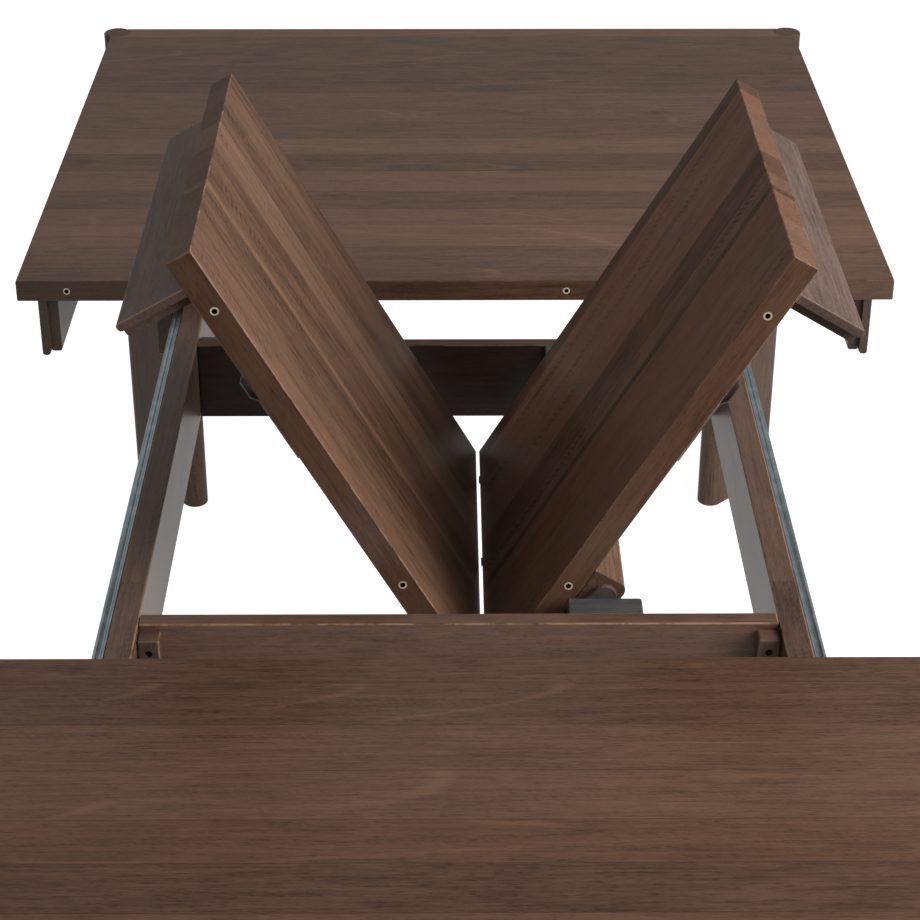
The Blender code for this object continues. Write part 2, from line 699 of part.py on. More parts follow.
def build_bearer(axis):
    """Batten under the right panel that turns on the two pivot pins. A round-ended
    plate on each end keeps it clear of the pivot block."""
    low = APRON_TOP - BEARER_DEPTH
    bm = box(
        (PIVOT_X - BEARER_INNER_SIDE, PIVOT_X + BEARER_OUTER_SIDE),
        (-BEARER_END_Y, BEARER_END_Y), (low, APRON_TOP),
    )
    under = [
        edge for edge in bm.edges
        if all(vert.co.z < low + EDGE_EASE for vert in edge.verts)
        and abs(edge.verts[0].co.y - edge.verts[1].co.y) > BEARER_END_Y
    ]
    bmesh.ops.bevel(
        bm, geom=under, offset=BEARER_ROUND, segments=4, profile=0.5, affect="EDGES",
        material=-1,
    )
    bearer = add_piece("leaf_bearer", bm, LEAF_WOOD, axis)
    across = (PIVOT_X + PLATE_REACH_X, PIVOT_Z - PLATE_REACH_DOWN)
    outline = capsule((PIVOT_X, PIVOT_Z), across, PLATE_RADIUS, PLATE_STEPS)
    plates = []
    for end in (-1, 1):
        root = end * (BEARER_END_Y - PLATE_ROOT)
        face = end * (BLOCK_FRONT_Y - PLATE_CLEARANCE)
        plates.append(prism(outline, "Y", root, face))
    combine(bearer, plates, axis, "UNION")
    hole = PIN_RADIUS + RUNNING_GAP
    bores = []
    for end in (-1, 1):
        out = end * (BEARER_END_Y + BEARER_END_GAP)
        deep = end * (BEARER_END_Y - PIN_DEPTH - PART_GAP)
        profile = [(0.0, out), (hole, out), (hole, deep), (0.0, deep)]
        bores.append(turned(profile, PIVOT_X, PIVOT_Z, PIN_STEPS))
    cut_from(bearer, bores, axis)


def build_skirt(word, side, parent):
    """Drop apron under the outer end of a panel; it folds up against the underside."""
    hinge_x = side * (APRON_OUTER - APRON_THICKNESS)
    axis = Axis(f"{word}_skirt_axis", (hinge_x, 0.0, APRON_TOP), parent=parent)
    near = LEAF_NEAR_EDGE + APRON_SETBACK
    far = LEAF_FAR_EDGE - APRON_SETBACK
    bm = prism(apron_outline(side, SKIRT_INSET, SKIRT_LIP), "Y", near, far)
    skirt = add_piece(f"{word}_leaf_skirt", bm, APRON_WOOD, axis)
    lip = APRON_OUTER - SKIRT_INSET - SKIRT_LIP
    past = BACKING_SETBACK
    cuts = [
        backing_cut(side, lip, near - past, near + past),
        backing_cut(side, lip, far - past, far + past),
    ]
    cut_from(skirt, cuts, axis)


def build_leaf():
    right = Axis(
        "right_leaf_axis", (PIVOT_X, 0.0, PIVOT_Z), turn=(0.0, -RAISE_RIGHT, 0.0),
    )
    left = Axis(
        "left_leaf_axis", (0.0, 0.0, TABLE_HEIGHT + SEAM_RISE),
        turn=(0.0, RAISE_RIGHT + RAISE_LEFT, 0.0), parent=right,
    )
    for word, side, axis in (("right", 1, right), ("left", -1, left)):
        build_panel(f"{word}_leaf_panel", side, axis)
        build_seam_hinge(f"{word}_seam_hinge", side, axis)
        build_keeper(f"{word}_leaf_keeper", side, axis)
        build_skirt(word, side, axis)
        inner_first = sorted((x for x in LOCATOR_XS if x * side > 0), key=abs)
        for place, x in zip(("inner", "outer"), inner_first):
            bm = sleeve(x, LEAF_NEAR_EDGE, 1.0)
            add_piece(f"{word}_leaf_{place}_sleeve", bm, BRASS, axis, round_piece=True)
            bm = locator_pin(x, LEAF_FAR_EDGE, -1.0)
            add_piece(f"{word}_leaf_{place}_pin", bm, SLIDE_STEEL, axis, round_piece=True)
    build_bearer(right)


build_frame(Axis("leaf_frame", (0.0, 0.0, 0.0)))
build_half("far", 0.0, True)
build_half("near", math.pi, False)
build_leaf()
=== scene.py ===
# %% [markdown]
# # Extending dining table with a butterfly leaf
#
# The table is pulled open. Its two halves have slid apart on steel slides, and the leaf
# that lives between the rails has been lifted out and stands half unfolded, in a V.
# The solid model already holds every board at its true size, so this script only adds
# what a workshop adds last: the stained and lacquered wood, the metal, the screws and
# small fittings, and then the light and the camera.

import json
import math

import bmesh
import bpy
from mathutils import Matrix, Vector


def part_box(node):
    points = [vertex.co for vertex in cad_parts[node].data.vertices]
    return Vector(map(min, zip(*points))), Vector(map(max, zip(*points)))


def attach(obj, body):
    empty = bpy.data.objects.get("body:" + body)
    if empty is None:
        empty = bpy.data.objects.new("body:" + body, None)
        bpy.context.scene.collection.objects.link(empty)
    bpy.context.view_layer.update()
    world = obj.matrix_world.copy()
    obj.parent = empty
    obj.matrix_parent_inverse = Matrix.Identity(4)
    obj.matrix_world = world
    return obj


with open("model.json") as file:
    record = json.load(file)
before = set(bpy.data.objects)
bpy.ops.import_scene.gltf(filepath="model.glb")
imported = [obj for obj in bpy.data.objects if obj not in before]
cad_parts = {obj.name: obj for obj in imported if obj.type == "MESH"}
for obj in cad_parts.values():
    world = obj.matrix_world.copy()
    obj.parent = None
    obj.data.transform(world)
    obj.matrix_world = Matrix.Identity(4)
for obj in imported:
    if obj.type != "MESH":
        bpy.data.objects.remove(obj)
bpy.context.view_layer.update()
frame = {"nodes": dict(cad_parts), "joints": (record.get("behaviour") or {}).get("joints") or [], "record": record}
NODES = frame["nodes"]
JOINTS = {joint["name"]: joint for joint in frame["joints"]}
print("boards and fittings from the solid model:", len(NODES))

# %% [markdown]
# ## Where the raised leaf lies
#
# Each leaf panel is a flat board that has been turned about an axis along the table's
# length. Its grain has to turn with it, and so do its hinges and screws. It is easiest to
# think of the table lying flat and shut, and to carry that layout to the raised place
# with one matrix per panel. The joints of the model hold all that is needed: the pivot's
# lower limit is how far the right panel is raised, and the fold follows it by a ratio.

# %% Raised angles and the two leaf matrices
pivot = Vector(JOINTS["right_leaf_pivot"]["pos_m"])
seam = Vector(JOINTS["leaf_seam_fold"]["pos_m"])
fold_ratio = frame["record"]["behaviour"]["couplings"][0]["ratio"]
RAISE_RIGHT = math.radians(-JOINTS["right_leaf_pivot"]["range_deg"][0])
RAISE_LEFT = -fold_ratio * RAISE_RIGHT - RAISE_RIGHT


def turned_about(point, angle):
    """Turns about an axis along the table's length through a point."""
    there = Matrix.Translation(point)
    return there @ Matrix.Rotation(angle, 4, "Y") @ there.inverted()


TO_RIGHT_LEAF = turned_about(pivot, -RAISE_RIGHT)
flat_seam = TO_RIGHT_LEAF.inverted() @ seam
TO_LEFT_LEAF = (
    Matrix.Translation(seam) @ Matrix.Rotation(RAISE_LEFT, 4, "Y")
    @ Matrix.Translation(-flat_seam)
)
print("right panel raised", round(math.degrees(RAISE_RIGHT), 1), "degrees")
print("left panel raised", round(math.degrees(RAISE_LEFT), 1), "degrees")

# %% [markdown]
# ## A short way to wire shader nodes
#
# Wood needs long chains of nodes. A small class that makes a node, plugs its inputs and
# hands back its output keeps those chains as readable as a formula. A shader group is a
# node tree of its own with named inputs and outputs, so each effect is built once and
# then placed in every material with that material's own values.

# %% Wiring helpers
class Wiring:
    """A node tree with short calls for the nodes used here."""

    def __init__(self, tree):
        self.tree = tree
        self.count = 0

    def node(self, kind, plugs=None, **settings):
        node = self.tree.nodes.new(kind)
        node.location = (190 * self.count, -40 * (self.count % 5))
        self.count += 1
        for name, value in settings.items():
            setattr(node, name, value)
        for name, value in (plugs or {}).items():
            self.plug(node.inputs[name], value)
        return node

    def plug(self, socket, value):
        if isinstance(value, bpy.types.NodeSocket):
            self.tree.links.new(value, socket)
        else:
            socket.default_value = value

    def math(self, operation, *values, clamp=False):
        node = self.node("ShaderNodeMath", operation=operation, use_clamp=clamp)
        for socket, value in zip(node.inputs, values):
            self.plug(socket, value)
        return node.outputs[0]

    def vector(self, operation, *values):
        node = self.node("ShaderNodeVectorMath", operation=operation)
        for socket, value in zip(node.inputs, values):
            self.plug(socket, value)
        return node.outputs[0]

    def split(self, vector):
        node = self.node("ShaderNodeSeparateXYZ", {"Vector": vector})
        return node.outputs[0], node.outputs[1], node.outputs[2]

    def join(self, x, y, z):
        return self.node("ShaderNodeCombineXYZ", {"X": x, "Y": y, "Z": z}).outputs[0]

    def step(self, value, low, high, bottom=0.0, top=1.0):
        """Rises smoothly from bottom to top as value goes from low to high."""
        node = self.node("ShaderNodeMapRange", interpolation_type="SMOOTHSTEP")
        plugs = zip(("Value", "From Min", "From Max", "To Min", "To Max"),
                    (value, low, high, bottom, top))
        for name, plug in plugs:
            self.plug(node.inputs[name], plug)
        return node.outputs["Result"]

    def noise(self, vector, scale=1.0, detail=2.0, rough=0.5, bend=0.0):
        node = self.node(
            "ShaderNodeTexNoise",
            {"Vector": vector, "Scale": scale, "Detail": detail, "Roughness": rough,
             "Distortion": bend},
        )
        return node.outputs["Fac"]

    def mix(self, factor, first, second, blend="MIX"):
        node = self.node("ShaderNodeMix", data_type="RGBA", blend_type=blend)
        self.plug(node.inputs[0], factor)
        self.plug(node.inputs[6], first)
        self.plug(node.inputs[7], second)
        return node.outputs[2]


FLOAT = "NodeSocketFloat"
VECTOR = "NodeSocketVector"
COLOR = "NodeSocketColor"


def new_group(name, inputs, outputs):
    """A shader group. Inputs are (name, kind, default) and outputs (name, kind)."""
    tree = bpy.data.node_groups.new(name, "ShaderNodeTree")
    for label, kind, default in inputs:
        socket = tree.interface.new_socket(label, in_out="INPUT", socket_type=kind)
        if default is not None:
            socket.default_value = default
    for label, kind in outputs:
        tree.interface.new_socket(label, in_out="OUTPUT", socket_type=kind)
    wires = Wiring(tree)
    entry = wires.node("NodeGroupInput").outputs
    exit_node = wires.node("NodeGroupOutput")
    return tree, wires, entry, exit_node.inputs


# %% [markdown]
# ## Staves
#
# The top is not one plank. It is glued up from long staves about as wide as three
# fingers, all running across the table, and each was cut from another part of the log.
# So each stave needs its own tone and its own piece of the grain, with a fine dark glue
# line between them. A one-dimensional Voronoi texture gives stave edges that are not all
# the same distance apart, and a white noise gives each stave its own random numbers.
# Where a rail is spliced end to end, the same nodes cut the stave to length as well. They
# stand in a helper, because the grain is drawn on each stave's own place and so both go
# into one group, which puts out masks only.

# %% Stave nodes
STAVE_INPUTS = [
    ("Width", FLOAT, 0.057), ("Width Start", FLOAT, 0.0), ("Length", FLOAT, 10.0),
    ("Length Start", FLOAT, -5.0), ("Seed", FLOAT, 0.0), ("Unevenness", FLOAT, 0.35),
]


def lay_staves(w, given):
    """Cuts the board into staves. Returns the masks and each stave's own place."""
    x, y, z = w.split(given["Vector"])
    place = w.math("DIVIDE", w.math("SUBTRACT", y, given["Width Start"]), given["Width"])
    cell, edge = [
        w.node("ShaderNodeTexVoronoi",
               {"W": place, "Scale": 1.0, "Randomness": given["Unevenness"]},
               voronoi_dimensions="1D", feature=feature)
        for feature in ("F1", "DISTANCE_TO_EDGE")
    ]
    length = w.math("DIVIDE", w.math("SUBTRACT", x, given["Length Start"]),
                    given["Length"])
    piece = w.math("FLOOR", length)
    key = w.join(cell.outputs["W"], piece, given["Seed"])
    random = w.node("ShaderNodeTexWhiteNoise", {"Vector": key}, noise_dimensions="3D")
    red, green, blue = w.split(random.outputs["Color"])
    across = w.math(
        "MULTIPLY", w.math("SUBTRACT", place, cell.outputs["W"]), given["Width"]
    )
    shift = w.vector("MULTIPLY", random.outputs["Color"], (9.0, 5.0, 7.0))
    side_gap = w.math("MULTIPLY", edge.outputs["Distance"], given["Width"])
    along = w.math("SUBTRACT", length, piece)
    end_gap = w.math(
        "MULTIPLY", w.math("MINIMUM", along, w.math("SUBTRACT", 1.0, along)),
        given["Length"],
    )
    gap = w.math("MINIMUM", side_gap, end_gap)
    return {
        "place": w.vector("ADD", w.join(x, across, z), shift), "across": across,
        "tone": red, "tint": green, "heart": blue,
        "joint": w.step(gap, 0.0001, 0.0006, 1.0, 0.0),
    }


print("stave inputs:", ", ".join(label for label, _, _ in STAVE_INPUTS))

# %% [markdown]
# ## Grain
#
# A tree is a bundle of nested cones. A board is a slice through them, so the rings show
# as long arches on its face and as curves on its end. The group measures the distance
# from a heart that lies a little below the stave and leans a little, and rings follow
# from it. On top come the things a close look finds: fine fibres, short brown flecks, a
# ripple where the fibres wander, and soft blotches where the stain has bitten deeper.
# Every noise is squeezed across the grain, so that it is drawn out along the fibres.

# %% Grain group
def build_grain_group():
    tree, w, given, made = new_group(
        "staves and grain",
        [("Vector", VECTOR, None), ("Depth", FLOAT, 0.0), ("Ring Width", FLOAT, 0.009),
         *STAVE_INPUTS],
        [(label, FLOAT) for label in (
            "Tone", "Tint", "Joint", "Rings", "Fibre", "Flecks", "Ripple", "Blotch")],
    )
    stave = lay_staves(w, given)
    for label in ("Tone", "Tint", "Joint"):
        w.plug(made[label], stave[label.lower()])
    place, across, heart = stave["place"], stave["across"], stave["heart"]

    def noise(scale, **settings):
        """Noise on the stave's own place, stretched along the fibres."""
        return w.noise(w.vector("MULTIPLY", place, scale), **settings)

    x, y, z = w.split(place)
    bend = noise((2.2, 9.0, 9.0), detail=3.0)
    sway = w.math("MULTIPLY", w.math("SUBTRACT", bend, 0.5), 0.050)
    aside = w.math("MULTIPLY", w.math("SUBTRACT", heart, 0.5), 0.16)
    lean = w.math("MULTIPLY", w.math("SUBTRACT", w.math("FRACT", w.math(
        "MULTIPLY", heart, 7.0)), 0.5), 0.11)
    below = w.math("ADD", w.math("ADD", given["Depth"], 0.022),
                   w.math("MULTIPLY", x, lean))
    off = w.math("ADD", w.math("SUBTRACT", across, aside), sway)
    radius = w.math("SQRT", w.math("ADD", w.math("MULTIPLY", off, off),
                                   w.math("MULTIPLY", below, below)))
    turn = w.math("FRACT", w.math("DIVIDE", radius, given["Ring Width"]))
    swing = w.math("ABSOLUTE", w.math("SUBTRACT", turn, 0.5))
    present = noise((5.0, 16.0, 16.0))
    w.plug(made["Rings"], w.math("MULTIPLY", w.step(swing, 0.0, 0.07, 1.0, 0.0),
                                 w.step(present, 0.48, 0.62)))
    coarse = noise((9.0, 260.0, 260.0), detail=4.0, rough=0.65)
    fine = noise((42.0, 620.0, 620.0), detail=3.0, rough=0.7)
    w.plug(made["Fibre"], w.math("ADD", w.math("MULTIPLY", coarse, 0.50),
                                 w.math("MULTIPLY", fine, 0.50)))
    dash = noise((150.0, 800.0, 800.0), detail=1.0)
    w.plug(made["Flecks"], w.step(dash, 0.54, 0.66))
    slant = w.math("ADD", w.math("MULTIPLY", x, 128.0), w.math("MULTIPLY", y, 105.0))
    waver = noise((34.0, 70.0, 70.0), detail=2.0)
    wave = w.math("SINE", w.math("MULTIPLY", w.math("ADD", slant, w.math(
        "MULTIPLY", waver, 2.4)), 2 * math.pi))
    middle = w.math("SUBTRACT", across, w.math(
        "MULTIPLY", w.math("SUBTRACT", heart, 0.5), 0.024))
    band = w.step(w.math("ABSOLUTE", middle), 0.003, 0.010, 1.0, 0.0)
    stretch = noise((7.0, 30.0, 12.0))
    figured = w.math("GREATER_THAN", heart, 0.40)
    band = w.math("MULTIPLY", w.math("MULTIPLY", band, figured),
                  w.step(stretch, 0.42, 0.56))
    w.plug(made["Ripple"], w.math("MULTIPLY", w.step(wave, -0.1, 0.9), band))
    w.plug(made["Blotch"], noise((8.0, 24.0, 24.0), detail=5.0, rough=0.62, bend=0.3))
    return tree


GRAIN = build_grain_group()
print("grain group made with", len(GRAIN.nodes), "nodes")

# %% [markdown]
# ## Worn edges
#
# Stain and lacquer rub thin first where two faces meet, and the pale wood shows as a
# broken line. The group finds such places from the board's own size: on its surface one
# of the three distances to a face is nothing, and where the second is nearly nothing
# too, there is an edge. A noise breaks the line up, because hands never wear it evenly.

# %% Edge wear group
def build_edge_group():
    tree, w, given, made = new_group(
        "edge wear",
        [("Vector", VECTOR, None), ("Centre", VECTOR, None), ("Half Size", VECTOR, None),
         ("Reach", FLOAT, 0.0016), ("Cover", FLOAT, 0.5)],
        [("Wear", FLOAT)],
    )
    away = w.vector("ABSOLUTE", w.vector("SUBTRACT", given["Vector"], given["Centre"]))
    a, b, c = w.split(w.vector("SUBTRACT", given["Half Size"], away))
    low = w.math("MINIMUM", a, b)
    high = w.math("MAXIMUM", a, b)
    second = w.math("MAXIMUM", low, w.math("MINIMUM", high, c))
    line = w.step(second, 0.0, given["Reach"], 1.0, 0.0)
    broken = w.noise(w.vector("MULTIPLY", given["Vector"], (38.0, 38.0, 38.0)),
                     detail=4.0, rough=0.65)
    threshold = w.math("SUBTRACT", 1.0, given["Cover"])
    patches = w.step(broken, w.math("SUBTRACT", threshold, 0.08),
                     w.math("ADD", threshold, 0.10))
    w.plug(made["Wear"], w.math("MULTIPLY", line, patches))
    return tree


EDGES = build_edge_group()
print("edge group made with", len(EDGES.nodes), "nodes")

# %% [markdown]
# ## Stain and lacquer
#
# The maker's finish ties the masks together. A dark walnut stain goes on beech, then a
# satin lacquer. The stain sinks into the ends of the fibres, so end grain is darker, it
# bites deeper in the blotches, and it lies greyer in some staves and redder in others.
# The lacquer fills most of the pores, so the bump is slight. The shade makes a whole
# board lighter or darker than its batch. Some boards take the stain differently, and
# some are painted darker or lighter as painted shade and painted light.

# %% Finish group
def build_finish_group():
    tree, w, given, made = new_group(
        "stain and lacquer",
        [("Light", COLOR, None), ("Dark", COLOR, None), ("Red", COLOR, None),
         ("Bare", COLOR, None), ("Tone", FLOAT, 0.5), ("Tint", FLOAT, 0.5),
         ("Stave Contrast", FLOAT, 0.45), ("Rings", FLOAT, 0.0), ("Ring Share", FLOAT, 0.2),
         ("Fibre", FLOAT, 0.5), ("Flecks", FLOAT, 0.0), ("Ripple", FLOAT, 0.0),
         ("Ripple Share", FLOAT, 0.2), ("Blotch", FLOAT, 0.5), ("Joint", FLOAT, 0.0),
         ("End Grain", FLOAT, 0.0), ("Wear", FLOAT, 0.0), ("Gloss", FLOAT, 0.36),
         ("Shade", FLOAT, 1.0)],
        [("Color", COLOR), ("Roughness", FLOAT), ("Height", FLOAT)],
    )

    def share(mask, middle, amount):
        return w.math("MULTIPLY", w.math("SUBTRACT", mask, middle), amount)

    tone = w.math("ADD", 0.5, share(given["Tone"], 0.5, given["Stave Contrast"]))
    tone = w.math("ADD", tone, share(given["Blotch"], 0.5, 0.75))
    tone = w.math("ADD", tone, share(given["Fibre"], 0.5, 2.1))
    patch = w.step(given["Blotch"], 0.56, 0.74)
    tone = w.math("SUBTRACT", tone, w.math("MULTIPLY", patch, 0.38))
    tone = w.math("ADD", tone, w.math("MULTIPLY", given["Rings"], given["Ring Share"]))
    tone = w.math("SUBTRACT", tone,
                  w.math("MULTIPLY", given["Ripple"], given["Ripple Share"]))
    tone = w.math("SUBTRACT", tone, w.math("MULTIPLY", given["Flecks"], 0.20), clamp=True)
    color = w.mix(tone, given["Dark"], given["Light"])
    red = w.step(given["Tint"], 0.45, 1.0, 0.0, 0.55)
    color = w.mix(red, color, w.mix(tone, given["Dark"], given["Red"]))
    # Darker on end grain, from the stain, and on long edges, painted shade.
    color = w.mix(w.math("MULTIPLY", given["End Grain"], 0.30), color, given["Dark"])
    joint = w.math("MULTIPLY", given["Joint"], 0.55)
    color = w.mix(joint, color, w.mix(0.5, given["Dark"], (0.0, 0.0, 0.0, 1.0)))
    color = w.mix(w.math("MULTIPLY", given["Wear"], 0.68), color, given["Bare"])
    # Shade scales the whole colour: stain differences between boards, and painted shade and light.
    w.plug(made["Color"], w.vector("MULTIPLY", color, w.join(
        given["Shade"], given["Shade"], given["Shade"])))
    rough = w.math("ADD", given["Gloss"], share(given["Fibre"], 0.5, 0.16))
    rough = w.math("ADD", rough, share(given["Blotch"], 0.5, 0.10))
    rough = w.math("ADD", rough, w.math("MULTIPLY", given["Wear"], 0.25), clamp=True)
    w.plug(made["Roughness"], rough)
    height = w.math("ADD", w.math("MULTIPLY", given["Fibre"], 0.5),
                    w.math("MULTIPLY", given["Rings"], 0.08))
    height = w.math("SUBTRACT", height, w.math("MULTIPLY", given["Flecks"], 0.25))
    height = w.math("SUBTRACT", height, w.math("MULTIPLY", given["Joint"], 0.6))
    w.plug(made["Height"], height)
    return tree


FINISH = build_finish_group()
print("finish group made with", len(FINISH.nodes), "nodes")

# %% [markdown]
# ## Laying the grain along a board
#
# Every board is painted in its own layout, with its grain along X, its width along Y and
# its thickness along Z. A Mapping node turns the table's coordinates into that layout.
# For a board across the table nothing turns, for a rail the table's length becomes X,
# and for a leg the height does. On a raised panel the raised angle is undone first.

# %% Board layouts
ACROSS_TABLE = Matrix.Identity(3)
ALONG_TABLE = Matrix.Rotation(-math.pi / 2, 3, "Z")
UNDO_RIGHT = Matrix.Rotation(RAISE_RIGHT, 3, "Y")
UNDO_LEFT = Matrix.Rotation(-RAISE_LEFT, 3, "Y")


def upright(heading):
    """Grain up a leg whose flat faces look along a heading in plan."""
    return Matrix.Rotation(math.pi / 2, 3, "Y") @ Matrix.Rotation(-heading, 3, "Z")


def board_box(node, turn):
    """Centre and half size of a node in its board layout."""
    points = [turn @ vert.co for vert in NODES[node].data.vertices]
    low = Vector([min(point[axis] for point in points) for axis in range(3)])
    high = Vector([max(point[axis] for point in points) for axis in range(3)])
    return (low + high) / 2, (high - low) / 2


print("raised grain undone on both panels")

# %% [markdown]
# ## Stains
#
# The stains are one family, each with a light, a dark and a red tone, and the bare wood
# that shows at a rubbed edge. The leaf is the reddest, because it has seen the least
# daylight, the skirts are paler, and the pivot blocks are stained slate grey.

# %% Stains
STAIN = {
    "top": {"Light": (0.158, 0.083, 0.050), "Dark": (0.038, 0.017, 0.009),
            "Red": (0.152, 0.068, 0.035), "Bare": (0.38, 0.24, 0.14)},
    "leaf": {"Light": (0.190, 0.103, 0.063), "Dark": (0.042, 0.018, 0.010),
             "Red": (0.180, 0.080, 0.042), "Bare": (0.31, 0.20, 0.13)},
    "frame": {"Light": (0.135, 0.078, 0.052), "Dark": (0.034, 0.017, 0.011),
              "Red": (0.125, 0.062, 0.036), "Bare": (0.38, 0.23, 0.13)},
    "apron": {"Light": (0.115, 0.072, 0.050), "Dark": (0.030, 0.018, 0.013),
              "Red": (0.105, 0.058, 0.036), "Bare": (0.34, 0.22, 0.14)},
    "leg": {"Light": (0.140, 0.084, 0.054), "Dark": (0.038, 0.021, 0.013),
            "Red": (0.128, 0.070, 0.043), "Bare": (0.32, 0.21, 0.14)},
    "skirt": {"Light": (0.168, 0.112, 0.088), "Dark": (0.040, 0.027, 0.022),
              "Red": (0.155, 0.096, 0.070), "Bare": (0.34, 0.22, 0.14)},
    "grey": {"Light": (0.082, 0.078, 0.078), "Dark": (0.026, 0.025, 0.026),
             "Red": (0.078, 0.066, 0.062), "Bare": (0.20, 0.17, 0.15)},
}
print("stains mixed:", ", ".join(STAIN))

# %% [markdown]
# ## One material per board
#
# Each board gets a material of its own, because its layout, its size and its seed are its
# own. The groups do the drawing, and the board only says how it differs. The way a face
# looks matters too: ends drink the stain, long edges may be painted darker as painted
# shade, the ripple shows on the faces only, and the face a board turns to the near end may
# carry painted shade, darker than the rest, or painted light, lighter than the rest.
# Lacquer is only satin, so the coat is thin and soft.

# %% Wood material
BUMP_STRENGTH = 0.22
BUMP_DEPTH = 0.0006
COAT_WEIGHT = 0.08
COAT_ROUGHNESS = 0.22
END_STAIN = 0.4


def wood(name, stain, turn, centre, half, seed, polish=0.34, sides=0.0, shade=1.0,
         near_face=1.0, **given):
    """A stained board. given sets any named input of the groups it places.

    sides is how much darker the long edges are painted as shade, and near_face scales
    the face towards the near end: painted shade below one, painted light above one.
    """
    material = bpy.data.materials.new(name)
    material.use_nodes = True
    w = Wiring(material.node_tree)
    shader = material.node_tree.nodes["Principled BSDF"]
    where = w.node("ShaderNodeTexCoord").outputs
    turned = {"Rotation": turn.to_euler()}
    board = w.node("ShaderNodeMapping", {"Vector": where["Object"], **turned},
                   vector_type="POINT").outputs[0]
    normal = w.node("ShaderNodeMapping", {"Vector": where["Normal"], **turned},
                    vector_type="NORMAL").outputs[0]

    def place(group, **plugs):
        node = w.node("ShaderNodeGroup", node_tree=group)
        for label, value in plugs.items():
            w.plug(node.inputs[label.replace("_", " ")], value)
        for label, value in given.items():
            if label.replace("_", " ") in node.inputs:
                w.plug(node.inputs[label.replace("_", " ")], value)
        return node.outputs

    depth = w.math("SUBTRACT", centre.z + half.z, w.split(board)[2])
    grain = place(GRAIN, Vector=board, Seed=seed, Width_Start=centre.y - half.y,
                  Depth=depth)
    edges = place(EDGES, Vector=board, Centre=centre, Half_Size=half)
    along, aside, upward = w.split(normal)
    sawn = w.step(w.math("ABSOLUTE", along), 0.6, 0.9, 0.0, END_STAIN)
    face = w.step(w.math("ABSOLUTE", upward), 0.5, 0.8)
    # Painted shade, or painted light where the factor is above one, on the face towards the near end.
    if near_face != 1.0:
        shade = w.step(aside, -0.8, -0.4, shade * near_face, shade)
    # Painted shade: the long edges are painted darker.
    long_edge_shade = w.step(w.math("ABSOLUTE", aside), 0.6, 0.9, 0.0, sides)
    finish = place(
        FINISH, Ripple=w.math("MULTIPLY", grain["Ripple"], face), Shade=shade,
        End_Grain=w.math("MAXIMUM", sawn, long_edge_shade), Wear=edges["Wear"],
        **{label: grain[label] for label in (
            "Tone", "Tint", "Joint", "Rings", "Fibre", "Flecks", "Blotch")},
        **{label: (*color, 1.0) for label, color in STAIN[stain].items()},
    )
    bump = w.node("ShaderNodeBump", {
        "Height": finish["Height"], "Strength": BUMP_STRENGTH, "Distance": BUMP_DEPTH})
    w.plug(shader.inputs["Base Color"], finish["Color"])
    w.plug(shader.inputs["Roughness"], finish["Roughness"])
    w.plug(shader.inputs["Normal"], bump.outputs[0])
    shader.inputs["Specular IOR Level"].default_value = polish
    shader.inputs["Coat Weight"].default_value = COAT_WEIGHT
    shader.inputs["Coat Roughness"].default_value = COAT_ROUGHNESS
    return material


def paint(node, material):
    """Gives a node of the solid model its finished material."""
    NODES[node].data.materials.clear()
    NODES[node].data.materials.append(material)


def paint_wood(node, stain, turn, seed, **given):
    """Gives a node of the solid model a wood material made for its own size."""
    centre, half = board_box(node, turn)
    paint(node, wood(f"{node}_finish", stain, turn, centre, half, seed, **given))


# %% [markdown]
# ## The two half tops and the leaf panels
#
# All of them are glued up from staves that run across the table, so that the pattern
# carries on when the leaf is in. The staves of a top are of one batch, but the stain
# takes differently on each, which is what makes the surface look like wood and not like
# a printed sheet. The leaf shows more ripple, and its edges are rubbed by handling.

# %% Finish the top boards
# The near top is painted darker all over (shade 0.80), painted shade for the stronger lamp light on the near end.
for seed, node in enumerate(("far_top", "near_top"), start=3):
    far = node == "far_top"
    paint_wood(node, "top", ACROSS_TABLE, seed, polish=0.42 if far else 0.28,
               Stave_Contrast=0.40, Ring_Share=0.30, Ripple_Share=0.06, Cover=0.36,
               Gloss=0.40, sides=0.8, shade=1.02 if far else 0.80)
# The long edges of the tops (sides 0.8) and of the leaf panels (sides 1.2) are painted darker, painted shade.
for node, turn, seed, polish in (("right_leaf_panel", UNDO_RIGHT, 11, 0.22),
                                 ("left_leaf_panel", UNDO_LEFT, 17, 0.36)):
    paint_wood(node, "leaf", turn, seed, polish=polish, sides=1.2, Stave_Contrast=0.70,
               Ring_Share=0.16, Ripple_Share=0.42, Cover=0.48, Gloss=0.44, Reach=0.0018,
               Width=0.052)
print("top boards finished")

# %% [markdown]
# ## Legs, aprons, rails and small blocks
#
# These are single boards: wide staves, so the glue lines fall outside them. Each has its
# grain along its length. The side rails are spliced once near each cross rail, where a
# fine line and a change of tone show, and their edges are the most rubbed of all. At the
# far end the faces of the end apron and the cross rail that look to the near end are
# painted darker, painted shade, and the whole far cross rail is a little darker too. On the
# near cross rail that face is painted lighter, painted light.

# %% Finish the legs, aprons, rails and blocks
ONE_PIECE = {"Width": 0.6, "Unevenness": 0.0}
SPLICE_START = -0.216
SPLICE_LENGTH = 0.496

